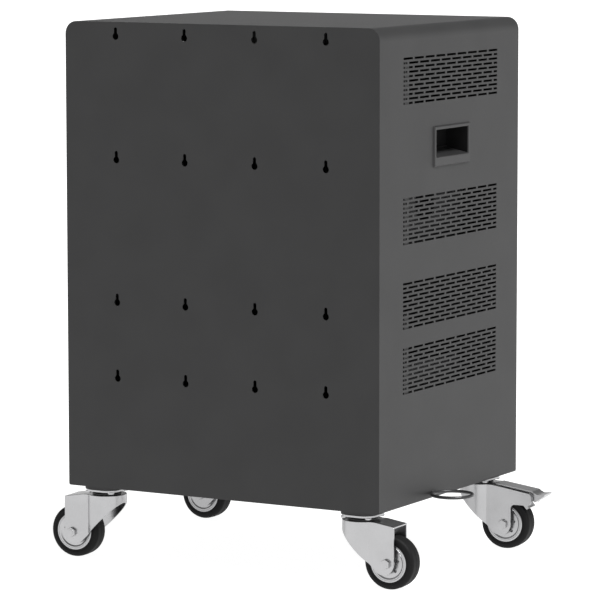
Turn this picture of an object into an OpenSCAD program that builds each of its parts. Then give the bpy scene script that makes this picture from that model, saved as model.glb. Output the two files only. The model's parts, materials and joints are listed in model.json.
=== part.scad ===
/* [Cabinet] */
// Width of the cabinet across its two sides
cabinet_w = 538; // [520:1:600]
// Depth of the cabinet from the doors to the back
cabinet_d = 445; // [430:1:520]
// Height of the cabinet without its casters
cabinet_h = 706; // [690:1:800]
// Thickness of the steel sheet
sheet_t = 1.5; // [1.2:0.1:1.8]
// Outside radius of the bends between the sides and the top
top_bend_r = 19; // [12:1:22]
// Outside radius of the small bends along the bottom of the sides
bottom_bend_r = 3; // [2.5:0.5:5]
// Width of the flange folded in under each side
bottom_flange_w = 14; // [10:1:18]

/* [Vents] */
// Number of slot rows in each side vent
vent_rows = 11; // [5:1:13]
// Distance from one row of slots to the next
vent_row_pitch = 6.5; // [5.5:0.1:7]
// Number of slots in a full row
vent_slots = 9; // [5:1:11]
// Distance from one slot to the next along a row
slot_pitch = 34; // [26:1:36]
// Width of the bridge left between two slots
slot_bridge = 5.4; // [4:0.2:10]
// Height of one slot
slot_h = 3.3; // [2:0.1:4]

/* [Wall keyholes] */
// Distance between the columns of keyholes in the back
keyhole_pitch = 120; // [100:1:124]
// Diameter of the round mouth of a keyhole
keyhole_d = 10.5; // [9:0.1:12]
// Width of the narrow neck of a keyhole
keyhole_neck_w = 5.5; // [4:0.1:6.5]
// Reach of the neck above the centre of the mouth
keyhole_reach = 13.5; // [11:0.5:16]

/* [Side handles] */
// Width of the bezel round a side handle
bezel_w = 116; // [112:1:150]
// Height of the bezel round a side handle
bezel_h = 61.6; // [56:0.2:70]
// Thickness of the bezel outside the side of the cabinet
bezel_t = 2.6; // [2:0.1:5]
// Width of the bevel along the edges of the bezel
bezel_bevel_w = 2; // [1:0.1:4]
// Width of the mouth of a handle pocket
pocket_w = 102; // [90:1:106]
// Height of the mouth of a handle pocket
pocket_h = 40; // [34:0.5:42]
// Depth of a handle pocket behind the side of the cabinet
pocket_depth = 35.5; // [28:0.5:39]
// Height of the bezel below the mouth of the pocket
pocket_lip_h = 15.1; // [8:0.1:16]
// Rise of the pocket's floor from its mouth to its back
pocket_rise = 7.6; // [4:0.1:12]
// Wall of the moulded handle pocket
pocket_wall = 2.5; // [1.5:0.1:3]

/* [Cable ring] */
// Outside radius of the steel ring low on the left side
ring_outer_r = 32.7; // [20:0.1:40]
// Diameter of the bar of the ring
ring_bar_d = 5; // [4:0.1:6]
// Height of the ring above the underside of the cabinet
ring_z = 7.8; // [7.8:0.1:9]
// Distance from the middle of the ring to the back of the cabinet
ring_back_gap = 167.5; // [130:0.5:220]

/* [Doors] */
// Width of the face of the frame round the doors
frame_face_w = 18; // [14:1:24]
// Height of the face of the frame below the doors
frame_sill_h = 24.5; // [20:0.5:32]
// Thickness of a door from its face to its rear lips
door_t = 18; // [16:0.5:22]
// Gap between the doors and their frame
door_gap = 2; // [1.8:0.1:3]
// Gap between the two doors
meeting_gap = 3; // [2:0.5:5]
// Largest width of the lip that a door closes against
stop_lip_w = 10; // [6:0.5:14]
// Diameter of a hinge pin
hinge_pin_d = 6; // [5:0.1:7]
// Share of the cabinet height at which the lock sits
lock_height_share = 0.496;

/* [Lock] */
// Length of the lever from its turning axis
lever_len = 92; // [70:1:110]
// Width of the lever
lever_w = 20; // [16:0.5:26]
// Diameter of the lever's shaft
lock_shaft_d = 12; // [10:0.1:14]
// Diameter of the bolt rods
rod_d = 8; // [6:0.1:9]
// Travel of the bolt rods
rod_travel = 16; // [12:0.5:18]

/* [Shelves and dividers] */
// Number of device bays on each shelf
bays = 8; // [4:1:9]
// Distance from one divider to the next
bay_pitch = 52; // [44:1:52]
// Thickness of a divider
divider_t = 2; // [1.5:0.1:3]
// Height of a divider
divider_h = 160; // [100:1:200]
// Distance from the front edge of a shelf to its dividers
divider_front_gap = 30; // [15:1:60]
// Distance from the dividers to the back edge of their shelf
divider_rear_gap = 35; // [20:1:80]
// Depth of the space for adapters and wiring behind the shelves
adapter_space_d = 91; // [88:1:110]

/* [Casters] */
// Diameter of a wheel
wheel_d = 80; // [70:1:84]
// Width of a tyre
tyre_w = 29; // [22:0.5:32]
// Distance from the swivel axis to the wheel axle
caster_trail = 49; // [44:1:52]
// Distance from the underside of the cabinet to the floor
caster_h = 114.5; // [110:0.5:122]
// Side of the square pad above each caster
pad_w = 62; // [58:1:66]
// Thickness of the pad above each caster
pad_t = 4.5; // [3:0.5:6]
// Radius of the round head of a caster fork
fork_head_r = 30.5; // [28:0.5:31]
// Thickness of the steel of a caster fork
fork_t = 2.5; // [2:0.1:3]

/* [Hidden] */
$fn = 48;

// Clearances and overruns used all over the model
over = 4;
run_gap = 0.05;
slide_gap = 0.3;
part_gap = 0.5;

// Main faces of the cabinet
side_x = cabinet_w / 2;
back_y = cabinet_d / 2;
front_y = -cabinet_d / 2;
in_x = side_x - sheet_t;
in_top = cabinet_h - sheet_t;
in_back = back_y - sheet_t;
floor_top = 2 * sheet_t;

// Heights as shares of the cabinet height, top vent first
vent_top_shares = [0.9335, 0.6431, 0.4671, 0.331];
keyhole_z_shares = [0.9695, 0.7079, 0.4033, 0.2401];
keyhole_columns = 4;
handle_z_share = 0.7438;

// Opening in the front frame and the stop behind the doors
open_x = in_x - frame_face_w;
open_low = sheet_t + frame_sill_h;
open_top = in_top - frame_face_w - door_gap;
door_back_y = front_y + door_t;
stop_gap = 4;
stop_y = door_back_y + stop_gap;
door_low = open_low + door_gap;
door_top = open_top - door_gap;
door_lip_w = 12;

// Hinge pins of the doors
pin_in_x = 9;
pin_in_y = 5;
pin_x = open_x - door_gap - pin_in_x;
pin_y = front_y + pin_in_y;
pin_flange_d = 9;
pin_flange_t = door_gap - part_gap;
pin_reach = 12;
bush_w = 16;
bush_h = 18;
bush_d = 12;
seal_end = 12;

// Lock, its case and its rods, all in the right door
lock_x = 36;
lock_z = cabinet_h * lock_height_share;
rose_d = 44;
rose_t = 3;
hub_d = 30;
hub_t = 16;
hub_stand = 2;
lever_t = 9;
cylinder_d = 16;
cylinder_deep = 10;
cylinder_out = 2;
key_slot_w = 2.4;
key_slot_l = 9;
key_slot_deep = 6;
case_w = 54;
case_h = 100;
case_d = door_t - 2 * sheet_t - 2 * part_gap;
rod_side = 15;
rod_y = front_y + sheet_t + case_d / 2;
rod_guide = 20;
rod_in = rod_travel + rod_guide;
rod_low_rest = 2;
cam_gap = 0.8;
cam_t = 3;
cam_w = 22;
cam_reach = case_h / 2;
shaft_tail = 1.5;

// Shelves, dividers and the panels behind the devices
shelf_front_gap = 37.5;
shelf_front_y = front_y + shelf_front_gap;
shelf_back_y = in_back - adapter_space_d;
shelf_d = shelf_back_y - shelf_front_y;
shelf_skirt = 17.5;
shelf_lip = 15;
shelf_low_gap = 4;
shelf_low_z = open_low + shelf_low_gap;
base_edge_top = shelf_low_z + sheet_t - shelf_skirt;
shelf_pitch_share = 0.456;
shelf_high_z = shelf_low_z + cabinet_h * shelf_pitch_share;
divider_y0 = shelf_front_y + divider_front_gap;
divider_d = shelf_d - divider_front_gap - divider_rear_gap;
divider_foot_w = 12;
divider_corner_r = 30;
divider_hole_d = 60;
rear_panel_gap = 50;
rear_flange = 14;

// Power side of the cabinet
strip_h = 44;
strip_d = 32;
strip_outlets = 8;
outlet_w = 34;
outlet_h = 30;
outlet_out = 1.6;
blade_w = 2;
blade_l = 7;
blade_gap = 12.7;
blade_deep = 9;
ground_w = 3.6;
strip_cap_l = 8;
strip_high_share = 0.85;
strip_low_share = 0.327;
strip_high_z = cabinet_h * strip_high_share;
strip_low_z = cabinet_h * strip_low_share;
duct_w = 30;
duct_d = 31;
duct_wall_gap = 21.5;
duct_x = in_x - duct_wall_gap - duct_w;
strip_l = 2 * (duct_x - strip_cap_l);
duct_cover_t = 3;
box_in_x = 58;
box_panel_gap = 1;
box_y0 = shelf_back_y + rear_flange + box_panel_gap;
box_foot_h = 12;
box_z0 = shelf_low_z + box_foot_h;
box_h = 118;
box_wall = 1.5;
power_back_gap = 42;
inlet_rise = 28;
rocker_rise = 62;
breaker_rise = 94;
power_y = in_back - power_back_gap;
inlet_z = box_z0 + inlet_rise;
rocker_z = box_z0 + rocker_rise;
breaker_z = box_z0 + breaker_rise;

// Inlet socket
inlet_w = 28;
inlet_h = 20;
inlet_flange_w = 50;
inlet_flange_h = 24;
inlet_flange_t = 2.4;
inlet_deep = 22;
inlet_wall = 1.8;
inlet_front = 5;
inlet_pin_w = 4;
inlet_pin_t = 2;
inlet_pin_gap = 7;

// Rocker switch
rocker_w = 26;
rocker_hole_h = 18;
rocker_rim = 2;
rocker_rim_t = 1.6;
rocker_deep = 16;
rocker_wall = 1.6;
rocker_pin_r = 1.5;
rocker_lean = 10;
rocker_half_w = 8.2;
rocker_out = 1.6;

// Circuit breaker with its reset button
breaker_d = 15;
breaker_rim_d = 19;
breaker_rim_t = 2;
breaker_deep = 20;
button_d = 9;
button_out = 5;
button_travel = 2.5;

// Rounded corner between the floor and the back of a handle pocket
pocket_corner_r = 5.5;
pocket_corner_steps = 8;

// Bead pressed into the floor
bead_side_gap = 99;
bead_end_gap = 82.5;
bead_turn_r = 24;
bead_w = 9;
bead_h = 1.5;

// Ring on the left side
ring_y = back_y - ring_back_gap;
ring_bar_r = ring_bar_d / 2;
ring_shank_r = 2.5;
ring_shank_in = 9;
ring_nut_w = 8;
ring_nut_t = 4;
nut_gap = 0.1;

// Caster plates, pins and forks
pad_edge = 3.5;
pad_flange_gap = 1;
pad_taper = 2;
plate_w = 56;
plate_corner_r = 15;
plate_t = 4.5;
plate_low = pad_t + plate_t;
race_r = 22;
race_t = 3;
race_rise = 2.5;
fork_top = plate_low + race_t + race_rise;
kingpin_r = 6;
kingpin_head_r = 10;
kingpin_head_t = 4;
fork_boss_t = 2.5;
plate_bolt_in = 8;
plate_screw_d = 6;
plate_screw_head_d = 10;
plate_screw_head_t = 2.6;
fork_tyre_gap = 5;
fork_wide = tyre_w / 2 + fork_tyre_gap + fork_t;
wheel_z = -caster_h + wheel_d / 2;
axle_r = 4;
fork_tail = 12.5;
fork_lobe_r = 17.5;
fork_skirt = 11;
fork_slope_x = 30;
fork_slope = 0.16;
caster_x = side_x - bottom_flange_w - pad_flange_gap - pad_w / 2;
caster_y = back_y - pad_edge - pad_w / 2;
axle_nut_w = 13;
axle_nut_t = 5;

// Arms and pedals of the braked front casters
arm_tail = 46.5;
arm_h = 18;
arm_corner_r = 6;
arm_fillet_r = 7;
brake_pin_r = 2.5;
brake_pin_tail = 33;
brake_pin_drop = 14;
pedal_half_w = 15;
pedal_t = 2.2;
pedal_gap = 0.6;
pedal_end_gap = 2;
pedal_lug_t = 2.5;
pedal_root = -14;
pedal_nose = 67;
nose_l = 13;
nose_dip = 1.2;
nose_t = 4;
nose_lean = 3;
nose_drop = 1;
shoe_gap = 2.7;
shoe_l = 10;
shoe_t = 5;
shoe_overlap = 1;
shoe_turn = 40;

// Wheels
tyre_shoulder = 5.5;
wheel_disc_r = 28.5;
disc_out = 0.5;
disc_dish_r = 23;
disc_dish = 1.2;
disc_boss_r = 9;
disc_boss_out = 3;

// Corners of the cabinet: left or right, back or front
caster_side = [-1, 1, -1, 1];
caster_end = [1, 1, -1, -1];
caster_turn = [182, 5, 184, 0];
steel_black = [0.27, 0.27, 0.28];
zinc = [0.78, 0.79, 0.8];

// Outline of the cabinet seen from the front, drawn in x and z and shrunk by inset
module outline(inset) {
    x = side_x - inset;
    top = cabinet_h - inset;
    rt = top_bend_r - inset;
    rb = max(bottom_bend_r - inset, sheet_t / 2);
    translate([-x, inset + rb]) square([2 * x, top - inset - rt - rb]);
    translate([-x + rt, top - rt]) square([2 * (x - rt), rt]);
    translate([-x + rb, inset]) square([2 * (x - rb), rb]);
    for (side = [-1, 1]) {
        translate([side * (x - rt), top - rt]) circle(r = rt);
        translate([side * (x - rb), inset + rb]) circle(r = rb);
    }
}

// Extrudes a drawing in x and z from one depth to another
module between_y(y0, y1) {
    translate([0, y1, 0]) rotate([90, 0, 0]) linear_extrude(y1 - y0) children();
}

// Extrudes a drawing in y and z from one width to another
module between_x(x0, x1) {
    translate([x0, 0, 0]) rotate([90, 0, 90]) linear_extrude(x1 - x0) children();
}

// One side vent drawn in y and z: rows of slots laid like bricks
module vent_slots_drawing(top_z) {
    vent_w = vent_slots * slot_pitch;
    slot_l = slot_pitch - slot_bridge;
    half_l = slot_l / 2 - slot_bridge / 2;
    for (row = [0 : vent_rows - 1]) {
        z = top_z - row * vent_row_pitch - slot_h / 2;
        shifted = row % 2;
        for (i = [0 : vent_slots - 1 - shifted])
            translate([-vent_w / 2 + slot_bridge / 2 + (i + shifted / 2) * slot_pitch, z])
                square([slot_l, slot_h]);
        if (shifted == 1)
            for (side = [-1, 1])
                translate([side * (vent_w / 2 - slot_bridge / 2 - half_l / 2), z + slot_h / 2])
                    square([half_l, slot_h], center = true);
    }
}

// Wrapped sheet that makes both sides and the top, with a flange turned in under each side
module shell() {
    color(steel_black) difference() {
        between_y(front_y, in_back) difference() {
            outline(0);
            outline(sheet_t);
            translate([-side_x + bottom_flange_w, -over])
                square([cabinet_w - 2 * bottom_flange_w, sheet_t + 2 * over]);
        }
        for (share = vent_top_shares)
            for (side = [-1, 1])
                between_x(side * side_x - over, side * side_x + over)
                    vent_slots_drawing(cabinet_h * share);
        for (side = [-1, 1])
            between_x(side * side_x - over, side * side_x + over) cup_hole_drawing();
        ring_shank_hole();
        between_x(side_x - over, side_x + over) power_holes_drawing();
    }
}

// Hole for the shank of the ring through the left side and the edge of the base pan
module ring_shank_hole() {
    translate([-side_x - over, ring_y, ring_z]) rotate([0, 90, 0])
        cylinder(r = ring_shank_r + nut_gap, h = 3 * over);
}

// Hole in the side for the handle pocket, drawn in y and z
module cup_hole_drawing() {
    low = cup_mouth_low() - pocket_wall - slide_gap;
    high = cup_mouth_low() + pocket_h + pocket_wall + slide_gap;
    half = pocket_w / 2 + pocket_wall + slide_gap;
    translate([-half, low]) square([2 * half, high - low]);
}

// Holes in the right side for the inlet, the switch and the breaker, drawn in y and z
module power_holes_drawing() {
    translate([power_y, inlet_z]) square([inlet_w, inlet_h], center = true);
    translate([power_y, rocker_z]) square([rocker_w, rocker_hole_h], center = true);
    translate([power_y, breaker_z]) circle(d = breaker_d);
}

// Keyhole drawn in x and z round the centre of its mouth
module keyhole_drawing() {
    neck_top = keyhole_reach - keyhole_neck_w / 2;
    circle(d = keyhole_d);
    translate([-keyhole_neck_w / 2, 0]) square([keyhole_neck_w, neck_top]);
    translate([0, neck_top]) circle(d = keyhole_neck_w);
}

// Back sheet with four rows of keyholes for hanging the cabinet on a wall
module back_panel() {
    color(steel_black) between_y(in_back, back_y) difference() {
        outline(0);
        for (share = keyhole_z_shares)
            for (column = [0 : keyhole_columns - 1])
                translate([(column - (keyhole_columns - 1) / 2) * keyhole_pitch, cabinet_h * share])
                    keyhole_drawing();
    }
}

// Ring drawn in x and y, w wide, along the line of the bead in the floor
module bead_drawing(w) {
    x = side_x - bead_side_gap;
    y = back_y - bead_end_gap;
    difference() {
        rounded_box(2 * x + w, 2 * y + w, bead_turn_r + w / 2);
        rounded_box(2 * x - w, 2 * y - w, bead_turn_r - w / 2);
    }
}

// Floor sheet, set down between the flanges of the shell, turned up at its sides
// and stiffened by a bead pressed in from below
module base_pan() {
    gap_x = side_x - bottom_flange_w - slide_gap;
    color(steel_black) difference() {
        union() {
            difference() {
                union() {
                    translate([-gap_x, front_y + sheet_t, 0])
                        cube([2 * gap_x, cabinet_d - 2 * sheet_t, floor_top]);
                    between_y(front_y + sheet_t, in_back) intersection() {
                        outline(sheet_t);
                        translate([-in_x, sheet_t]) square([2 * in_x, base_edge_top - sheet_t]);
                    }
                }
                translate([-gap_x + sheet_t, front_y, sheet_t])
                    cube([2 * (gap_x - sheet_t), cabinet_d, base_edge_top]);
                translate([-in_x + sheet_t, front_y, floor_top])
                    cube([2 * (in_x - sheet_t), cabinet_d, base_edge_top]);
            }
            linear_extrude(sheet_t + bead_h) bead_drawing(bead_w + sheet_t);
        }
        translate([0, 0, -over]) linear_extrude(over + bead_h) bead_drawing(bead_w - sheet_t);
        ring_shank_hole();
    }
}

// Opening of the front frame grown by more, drawn in x and z
module opening_drawing(more) {
    translate([-open_x - more, open_low - more])
        square([2 * (open_x + more), open_top - open_low + 2 * more]);
}

// Frame round the doors: its face, its inner wall and the lip that the doors close against
module front_frame() {
    color(steel_black) difference() {
        union() {
            between_y(front_y, front_y + sheet_t) difference() {
                outline(sheet_t);
                opening_drawing(0);
            }
            between_y(front_y, stop_y + sheet_t) difference() {
                opening_drawing(sheet_t);
                opening_drawing(0);
            }
            between_y(stop_y, stop_y + sheet_t) difference() {
                opening_drawing(sheet_t);
                opening_drawing(-stop_lip_w);
            }
        }
        for (end = [0, 1])
            translate([lock_x + (end == 1 ? rod_side : -rod_side), rod_y,
                (end == 1 ? open_top - over : open_low - over)])
                cylinder(r = rod_d / 2 + 2 * slide_gap, h = 2 * over);
    }
}

// Shelf with its front and sides turned down and its rear edge turned up
module shelf(z) {
    difference() {
        translate([-in_x, shelf_front_y, z - shelf_skirt + sheet_t])
            cube([2 * in_x, shelf_d, shelf_skirt]);
        translate([-in_x + sheet_t, shelf_front_y + sheet_t, z - shelf_skirt - over])
            cube([2 * (in_x - sheet_t), shelf_d, shelf_skirt + over]);
    }
    translate([-in_x, shelf_back_y - sheet_t, z])
        cube([2 * in_x, sheet_t, shelf_lip]);
}

module shelf_lower() {
    color(steel_black) shelf(shelf_low_z);
}

module shelf_upper() {
    color(steel_black) shelf(shelf_high_z);
}

// Outline of one divider drawn in y and z, with its upper front corner rounded
module divider_drawing() {
    r = divider_corner_r;
    difference() {
        union() {
            square([divider_d, divider_h - r]);
            translate([r, 0]) square([divider_d - r, divider_h]);
            translate([r, divider_h - r]) circle(r = r);
        }
        translate([divider_d / 2, divider_h / 2]) circle(d = divider_hole_d);
    }
}

// Row of dividers standing on a shelf, each on a turned foot
module dividers(z) {
    for (i = [0 : bays]) {
        x = (i - bays / 2) * bay_pitch;
        translate([x, divider_y0, z]) {
            between_x(-divider_t / 2, divider_t / 2) divider_drawing();
            translate([-divider_t / 2, 0, 0]) cube([divider_foot_w, divider_d, divider_t]);
        }
    }
}

module dividers_lower() {
    color("dimgray") dividers(shelf_low_z + sheet_t);
}

module dividers_upper() {
    color("dimgray") dividers(shelf_high_z + sheet_t);
}

// Panel between the devices and the power strips, open above for the leads
module rear_panel(z0, z1) {
    difference() {
        translate([-in_x, shelf_back_y, z0]) cube([2 * in_x, rear_flange, z1 - z0]);
        translate([-in_x + sheet_t, shelf_back_y + sheet_t, z0 - over])
            cube([2 * (in_x - sheet_t), rear_flange, z1 - z0 + 2 * over]);
    }
}

module rear_panel_lower() {
    color(steel_black) rear_panel(shelf_low_z, shelf_high_z - shelf_skirt - rear_panel_gap);
}

module rear_panel_upper() {
    color(steel_black) rear_panel(shelf_high_z, in_top - rear_panel_gap);
}

// Blade slots of one outlet
module outlet_slots() {
    for (side = [-1, 1])
        translate([side * blade_gap / 2, 0, blade_l / 2])
            cube([blade_w, 2 * blade_deep, blade_l], center = true);
    translate([0, 0, -blade_l]) cube([ground_w, 2 * blade_deep, ground_w], center = true);
}

// Power strip fixed inside the back sheet, with its outlets facing the devices
module power_strip(z) {
    pitch = strip_l / strip_outlets;
    face_y = in_back - strip_d;
    difference() {
        union() {
            translate([-strip_l / 2, face_y, z - strip_h / 2]) cube([strip_l, strip_d, strip_h]);
            for (i = [0 : strip_outlets - 1])
                translate([(i - (strip_outlets - 1) / 2) * pitch - outlet_w / 2,
                    face_y - outlet_out, z - outlet_h / 2])
                    cube([outlet_w, strip_d, outlet_h]);
            for (side = [-1, 1])
                translate([side * (strip_l + strip_cap_l) / 2, face_y - outlet_out + strip_d / 2, z])
                    cube([strip_cap_l, strip_d, strip_h + 2 * outlet_out], center = true);
        }
        translate([-strip_l, in_back, z - strip_h])
            cube([2 * strip_l, strip_d, 2 * strip_h]);
        for (i = [0 : strip_outlets - 1])
            translate([(i - (strip_outlets - 1) / 2) * pitch, face_y - outlet_out, z])
                outlet_slots();
    }
}

module power_strip_lower() {
    color("darkslategray") power_strip(strip_low_z);
}

module power_strip_upper() {
    color("darkslategray") power_strip(strip_high_z);
}

// Closed duct that carries the leads from the power box up to both strips
module wiring_duct() {
    z0 = box_z0 + box_h;
    z1 = strip_high_z + strip_h / 2;
    color("gainsboro") {
        translate([duct_x, in_back - duct_d + duct_cover_t, z0])
            cube([duct_w - duct_cover_t, duct_d - duct_cover_t, z1 - z0]);
        translate([duct_x, in_back - duct_d, z0])
            cube([duct_w, duct_cover_t, z1 - z0]);
    }
}

// Box round the back of the inlet, the switch and the breaker, open to the side wall
module power_box() {
    color("dimgray") difference() {
        translate([in_x - box_in_x, box_y0, box_z0]) cube([box_in_x, in_back - box_y0, box_h]);
        translate([in_x - box_in_x + box_wall, box_y0 + box_wall, box_z0 + box_wall])
            cube([box_in_x, in_back - box_y0 - 2 * box_wall, box_h - 2 * box_wall]);
    }
}

// Power inlet with its three pins, in the right side
module inlet_socket() {
    color([0.1, 0.1, 0.1]) translate([side_x, power_y, inlet_z]) {
        difference() {
            union() {
                translate([0, -inlet_flange_w / 2, -inlet_flange_h / 2])
                    cube([inlet_flange_t, inlet_flange_w, inlet_flange_h]);
                translate([-inlet_deep, -inlet_w / 2 + slide_gap, -inlet_h / 2 + slide_gap])
                    cube([inlet_deep + inlet_flange_t, inlet_w - 2 * slide_gap,
                        inlet_h - 2 * slide_gap]);
            }
            translate([-inlet_deep + inlet_wall, -inlet_w / 2 + slide_gap + inlet_wall,
                -inlet_h / 2 + slide_gap + inlet_wall])
                cube([inlet_deep + inlet_flange_t, inlet_w - 2 * (slide_gap + inlet_wall),
                    inlet_h - 2 * (slide_gap + inlet_wall)]);
        }
        for (side = [-1, 0, 1])
            translate([-inlet_deep, side * inlet_pin_gap - inlet_pin_t / 2,
                (side == 0 ? inlet_pin_t / 2 : -inlet_pin_w)])
                cube([inlet_deep + inlet_flange_t - inlet_front, inlet_pin_t, inlet_pin_w]);
    }
}

// Frame of the rocker switch with a bore for the rocker's pin in each side
module rocker_frame() {
    color([0.1, 0.1, 0.1]) translate([side_x, power_y, rocker_z]) difference() {
        union() {
            translate([0, -rocker_w / 2 - rocker_rim, -rocker_hole_h / 2 - rocker_rim])
                cube([rocker_rim_t, rocker_w + 2 * rocker_rim, rocker_hole_h + 2 * rocker_rim]);
            translate([-rocker_deep, -rocker_w / 2 + slide_gap, -rocker_hole_h / 2 + slide_gap])
                cube([rocker_deep + rocker_rim_t, rocker_w - 2 * slide_gap,
                    rocker_hole_h - 2 * slide_gap]);
        }
        translate([-rocker_deep + rocker_wall, -rocker_w / 2 + slide_gap + rocker_wall,
            -rocker_hole_h / 2 + slide_gap + rocker_wall])
            cube([rocker_deep + rocker_rim_t, rocker_w - 2 * (slide_gap + rocker_wall),
                rocker_hole_h - 2 * (slide_gap + rocker_wall)]);
        translate([-rocker_deep / 2, 0, -rocker_hole_h])
            cylinder(r = rocker_pin_r + run_gap, h = 2 * rocker_hole_h);
    }
}

// Rocker that tips about an upright pin, drawn switched off with its front end out
module rocker() {
    half_h = rocker_hole_h / 2 - slide_gap - rocker_wall - slide_gap;
    reach = rocker_deep / 2 + rocker_rim_t;
    color([0.12, 0.12, 0.12]) translate([side_x - rocker_deep / 2, power_y, rocker_z])
        rotate([0, 0, rocker_lean]) {
            translate([0, 0, -half_h]) linear_extrude(2 * half_h) polygon([
                [-2 * rocker_pin_r, 0], [0, -2 * rocker_pin_r],
                [reach - rocker_rim_t, -rocker_half_w], [reach + rocker_out, -rocker_half_w],
                [reach, 0], [reach + rocker_out, rocker_half_w],
                [reach - rocker_rim_t, rocker_half_w], [0, 2 * rocker_pin_r]]);
            translate([0, 0, -rocker_hole_h / 2 + slide_gap])
                cylinder(r = rocker_pin_r, h = rocker_hole_h - 2 * slide_gap);
        }
}

// Circuit breaker whose bore guides the reset button
module breaker_body() {
    color([0.1, 0.1, 0.1]) translate([side_x, power_y, breaker_z]) rotate([0, 90, 0])
        difference() {
            union() {
                translate([0, 0, -breaker_deep])
                    cylinder(d = breaker_d - 2 * slide_gap, h = breaker_deep + breaker_rim_t);
                cylinder(d = breaker_rim_d, h = breaker_rim_t);
            }
            translate([0, 0, -breaker_deep / 2])
                cylinder(d = button_d, h = breaker_deep);
        }
}

// Reset button that is pushed in and springs back
module reset_button() {
    color("firebrick") translate([side_x, power_y, breaker_z]) rotate([0, 90, 0])
        translate([0, 0, -breaker_deep / 2 + button_travel + part_gap])
            cylinder(d = button_d - 2 * slide_gap,
                h = breaker_deep / 2 - button_travel - part_gap + breaker_rim_t + button_out);
}

// Height of the lower edge of the mouth of a handle pocket
function cup_mouth_low() = cabinet_h * handle_z_share - bezel_h / 2 + pocket_lip_h;

// Bezel of a side handle: a raised plate with its four edges bevelled
module bezel() {
    low = cabinet_h * handle_z_share - bezel_h / 2;
    b = bezel_bevel_w;
    intersection() {
        translate([0, 0, low]) linear_extrude(bezel_h) polygon([
            [0, -bezel_w / 2], [bezel_t, b - bezel_w / 2],
            [bezel_t, bezel_w / 2 - b], [0, bezel_w / 2]]);
        translate([0, bezel_w / 2, low]) rotate([90, 0, 0]) linear_extrude(bezel_w) polygon([
            [0, 0], [bezel_t, b], [bezel_t, bezel_h - b], [0, bezel_h]]);
    }
}

// Hollow of a handle pocket grown by wall, drawn in x and z and carried on out to mouth:
// a floor that rises to a rounded corner, an upright back and a flat roof
module pocket_drawing(wall, mouth) {
    a = atan(pocket_rise / pocket_depth);
    low = cup_mouth_low() - wall / cos(a);
    top = cup_mouth_low() + pocket_h + wall;
    corner = [pocket_corner_r - pocket_depth,
        cup_mouth_low() + (pocket_depth - pocket_corner_r) * tan(a) + pocket_corner_r / cos(a)];
    turn = (90 - a) / pocket_corner_steps;
    polygon(concat([[mouth, top], [mouth, low]], mouth > 0 ? [[0, low]] : [],
        [for (i = [pocket_corner_steps : -1 : 0])
            corner + (pocket_corner_r + wall) * [-cos(i * turn), -sin(i * turn)]],
        [[-pocket_depth - wall, top]]));
}

// Moulded handle pocket, drawn for the right side
module handle_cup() {
    half = pocket_w / 2;
    translate([side_x, 0, 0]) difference() {
        union() {
            bezel();
            between_y(-half - pocket_wall, half + pocket_wall) pocket_drawing(pocket_wall, 0);
        }
        between_y(-half, half) pocket_drawing(0, bezel_t + over);
    }
}

module handle_cup_right() {
    color([0.14, 0.14, 0.15]) handle_cup();
}

module handle_cup_left() {
    color([0.14, 0.14, 0.15]) mirror([1, 0, 0]) handle_cup();
}

// Steel ring lying flat against the left side, with a shank through the sheet
module cable_ring() {
    color([0.22, 0.22, 0.23]) {
        translate([-side_x - ring_outer_r, ring_y, ring_z])
            rotate_extrude($fn = 96) translate([ring_outer_r - ring_bar_r, 0])
                circle(r = ring_bar_r);
        translate([-side_x - ring_bar_r, ring_y, ring_z]) rotate([0, 90, 0])
            cylinder(r = ring_shank_r, h = ring_bar_r + sheet_t + ring_shank_in);
    }
}

// Nut that holds the ring's shank inside the cabinet
module ring_nut() {
    start_x = -in_x + sheet_t;
    color(zinc) translate([start_x, ring_y, ring_z]) rotate([90, 0, 90]) difference() {
        cylinder(d = ring_nut_w / cos(30), h = ring_nut_t, $fn = 6);
        translate([0, 0, -over]) cylinder(r = ring_shank_r + nut_gap, h = ring_nut_t + 2 * over);
    }
}

// Four hinge pins, two for each door, on the frame's sill and under its head
module hinge_pins() {
    color(zinc) for (side = [-1, 1]) {
        translate([side * pin_x, pin_y, open_low]) {
            cylinder(d = pin_flange_d, h = pin_flange_t);
            cylinder(d = hinge_pin_d, h = door_gap + pin_reach);
        }
        translate([side * pin_x, pin_y, open_top]) mirror([0, 0, 1]) {
            cylinder(d = pin_flange_d, h = pin_flange_t);
            cylinder(d = hinge_pin_d, h = door_gap + pin_reach);
        }
    }
}

// Foam strips on the stop lip above and below the doors
module door_seals() {
    seal_t = stop_gap - slide_gap;
    seal_h = stop_lip_w - part_gap;
    half = pin_x - seal_end;
    color([0.08, 0.08, 0.08]) for (z = [open_low + part_gap, open_top - seal_h - part_gap])
        translate([-half, stop_y - seal_t, z]) cube([2 * half, seal_t, seal_h]);
}

// Door drawn as a tray with lips round its rear, and a bored bush at each end of its hinge side
module door(side) {
    x0 = meeting_gap / 2;
    x1 = open_x - door_gap;
    lip = sheet_t + door_lip_w;
    door_h = door_top - door_low;
    module box(x_in, y0, y1, z_in) {
        translate([x0 + x_in, y0, door_low + z_in])
            cube([x1 - x0 - 2 * x_in, y1 - y0, door_h - 2 * z_in]);
    }
    mirror([side < 0 ? 1 : 0, 0, 0]) difference() {
        union() {
            difference() {
                box(0, front_y, door_back_y, 0);
                box(sheet_t, front_y + sheet_t, door_back_y - sheet_t, sheet_t);
                box(lip, front_y + sheet_t, door_back_y + over, lip);
            }
            for (z = [door_low, door_top - bush_h])
                translate([x1 - bush_w, front_y, z]) cube([bush_w, bush_d, bush_h]);
        }
        translate([pin_x, pin_y, door_low - over])
            cylinder(d = hinge_pin_d + 2 * run_gap, h = over + pin_reach + part_gap);
        translate([pin_x, pin_y, door_top - pin_reach - part_gap])
            cylinder(d = hinge_pin_d + 2 * run_gap, h = over + pin_reach + part_gap);
    }
}

module door_left() {
    color(steel_black) door(-1);
}

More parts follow.
